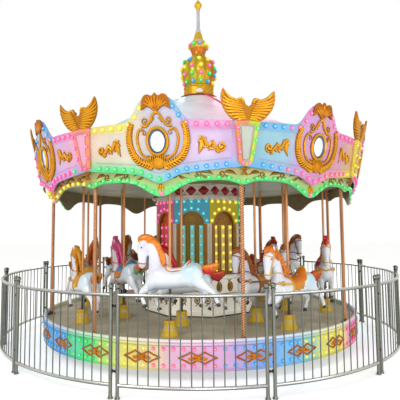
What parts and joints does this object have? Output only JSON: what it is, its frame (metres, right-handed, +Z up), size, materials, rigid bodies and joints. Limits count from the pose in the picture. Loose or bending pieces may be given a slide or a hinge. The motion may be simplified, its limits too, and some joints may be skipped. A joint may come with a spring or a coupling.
{
  "type": "fairground carousel",
  "caption": "Galloping-horse carousel: a turning deck and domed canopy on twisted poles round an arched drum, with rising horses, inside a steel ring fence.",
  "frame": {"origin": "on the ground, on the turntable's axis, which is the centre of the ring fence", "axes": "+Z up along the turntable's axis; the middle of one fence panel faces -Y, and +X is to the right seen from there"},
  "size_m": [5.878, 5.878, 5.54],
  "materials": {
    "stainless_steel": "polished stainless steel tube",
    "base_paint": "dull dark grey paint on steel",
    "deck_plate": "matt grey-brown non-slip floor",
    "rim_paint": "glossy moulded rim in bands of coloured light",
    "ivory_gloss": "glossy ivory moulded plastic",
    "drum_paint": "glossy moulded panels with gold arches",
    "cornice_paint": "dark red diamonds on silver",
    "copper_twist": "copper-coloured twisted tube",
    "ceiling_paint": "olive gold ceiling panels",
    "valance_paint": "pale green moulded valance",
    "board_paint": "pastel moulded boards with gold relief",
    "roof_paint": "pale moulded dome",
    "gold_paint": "gold paint",
    "horse_white": "white gel coat with painted mane, tail and saddle"
  },
  "bodies": {
    "base": {"base_frame": "base_paint", "fence_panel_01": "stainless_steel", "fence_panel_02": "stainless_steel", "fence_panel_03": "stainless_steel", "fence_panel_04": "stainless_steel", "fence_panel_05": "stainless_steel", "fence_panel_06": "stainless_steel", "fence_panel_07": "stainless_steel", "fence_panel_08": "stainless_steel", "fence_panel_09": "stainless_steel", "fence_panel_10": "stainless_steel", "fence_panel_11": "stainless_steel", "fence_panel_12": "stainless_steel"},
    "turntable": {"deck": "deck_plate", "rim_skirt": "rim_paint", "drum_plinth": "ivory_gloss", "drum": "drum_paint", "drum_cornice": "cornice_paint", "ceiling": "ceiling_paint", "valance": "valance_paint", "twisted_pole_1": "copper_twist", "twisted_pole_2": "copper_twist", "twisted_pole_3": "copper_twist", "twisted_pole_4": "copper_twist", "twisted_pole_5": "copper_twist", "twisted_pole_6": "copper_twist", "twisted_pole_7": "copper_twist", "twisted_pole_8": "copper_twist", "rounding_board_1": "board_paint", "rounding_board_2": "board_paint", "rounding_board_3": "board_paint", "rounding_board_4": "board_paint", "rounding_board_5": "board_paint", "rounding_board_6": "board_paint", "rounding_board_7": "board_paint", "rounding_board_8": "board_paint", "roof_dome": "roof_paint", "turret_onion": "gold_paint", "turret_crown": "gold_paint", "spire": "gold_paint"},
    "outer_horse_1_body": {"outer_horse_1": "horse_white"},
    "outer_horse_2_body": {"outer_horse_2": "horse_white"},
    "outer_horse_3_body": {"outer_horse_3": "horse_white"},
    "outer_horse_4_body": {"outer_horse_4": "horse_white"},
    "outer_horse_5_body": {"outer_horse_5": "horse_white"},
    "outer_horse_6_body": {"outer_horse_6": "horse_white"},
    "outer_horse_7_body": {"outer_horse_7": "horse_white"},
    "outer_horse_8_body": {"outer_horse_8": "horse_white"},
    "inner_horse_1_body": {"inner_horse_1": "horse_white"},
    "inner_horse_2_body": {"inner_horse_2": "horse_white"},
    "inner_horse_3_body": {"inner_horse_3": "horse_white"},
    "inner_horse_4_body": {"inner_horse_4": "horse_white"},
    "inner_horse_5_body": {"inner_horse_5": "horse_white"},
    "inner_horse_6_body": {"inner_horse_6": "horse_white"},
    "inner_horse_7_body": {"inner_horse_7": "horse_white"},
    "inner_horse_8_body": {"inner_horse_8": "horse_white"}
  },
  "joints": [
    {"name": "turntable_spin", "type": "hinge", "parent": "base", "child": "turntable", "pos_m": [0, 0, 0], "axis": [0, 0, 1], "continuous": true},
    {"name": "outer_horse_1_lift", "type": "slide", "parent": "turntable", "child": "outer_horse_1_body", "axis": [0, 0, 1], "range_m": [-0.18, 0]},
    {"name": "outer_horse_2_lift", "type": "slide", "parent": "turntable", "child": "outer_horse_2_body", "axis": [0, 0, 1], "range_m": [-0.0264, 0.1536]},
    {"name": "outer_horse_3_lift", "type": "slide", "parent": "turntable", "child": "outer_horse_3_body", "axis": [0, 0, 1], "range_m": [-0.09, 0.09]},
    {"name": "outer_horse_4_lift", "type": "slide", "parent": "turntable", "child": "outer_horse_4_body", "axis": [0, 0, 1], "range_m": [-0.1536, 0.0264]},
    {"name": "outer_horse_5_lift", "type": "slide", "parent": "turntable", "child": "outer_horse_5_body", "axis": [0, 0, 1], "range_m": [0, 0.18]},
    {"name": "outer_horse_6_lift", "type": "slide", "parent": "turntable", "child": "outer_horse_6_body", "axis": [0, 0, 1], "range_m": [-0.1536, 0.0264]},
    {"name": "outer_horse_7_lift", "type": "slide", "parent": "turntable", "child": "outer_horse_7_body", "axis": [0, 0, 1], "range_m": [-0.09, 0.09]},
    {"name": "outer_horse_8_lift", "type": "slide", "parent": "turntable", "child": "outer_horse_8_body", "axis": [0, 0, 1], "range_m": [-0.0264, 0.1536]},
    {"name": "inner_horse_1_lift", "type": "slide", "parent": "turntable", "child": "inner_horse_1_body", "axis": [0, 0, 1], "range_m": [-0.041, 0.139]},
    {"name": "inner_horse_2_lift", "type": "slide", "parent": "turntable", "child": "inner_horse_2_body", "axis": [0, 0, 1], "range_m": [-0.002, 0.178]},
    {"name": "inner_horse_3_lift", "type": "slide", "parent": "turntable", "child": "inner_horse_3_body", "axis": [0, 0, 1], "range_m": [-0.0145, 0.1655]},
    {"name": "inner_horse_4_lift", "type": "slide", "parent": "turntable", "child": "inner_horse_4_body", "axis": [0, 0, 1], "range_m": [-0.0713, 0.1087]},
    {"name": "inner_horse_5_lift", "type": "slide", "parent": "turntable", "child": "inner_horse_5_body", "axis": [0, 0, 1], "range_m": [-0.139, 0.041]},
    {"name": "inner_horse_6_lift", "type": "slide", "parent": "turntable", "child": "inner_horse_6_body", "axis": [0, 0, 1], "range_m": [-0.178, 0.002]},
    {"name": "inner_horse_7_lift", "type": "slide", "parent": "turntable", "child": "inner_horse_7_body", "axis": [0, 0, 1], "range_m": [-0.1655, 0.0145]},
    {"name": "inner_horse_8_lift", "type": "slide", "parent": "turntable", "child": "inner_horse_8_body", "axis": [0, 0, 1], "range_m": [-0.1087, 0.0713]}
  ]
}
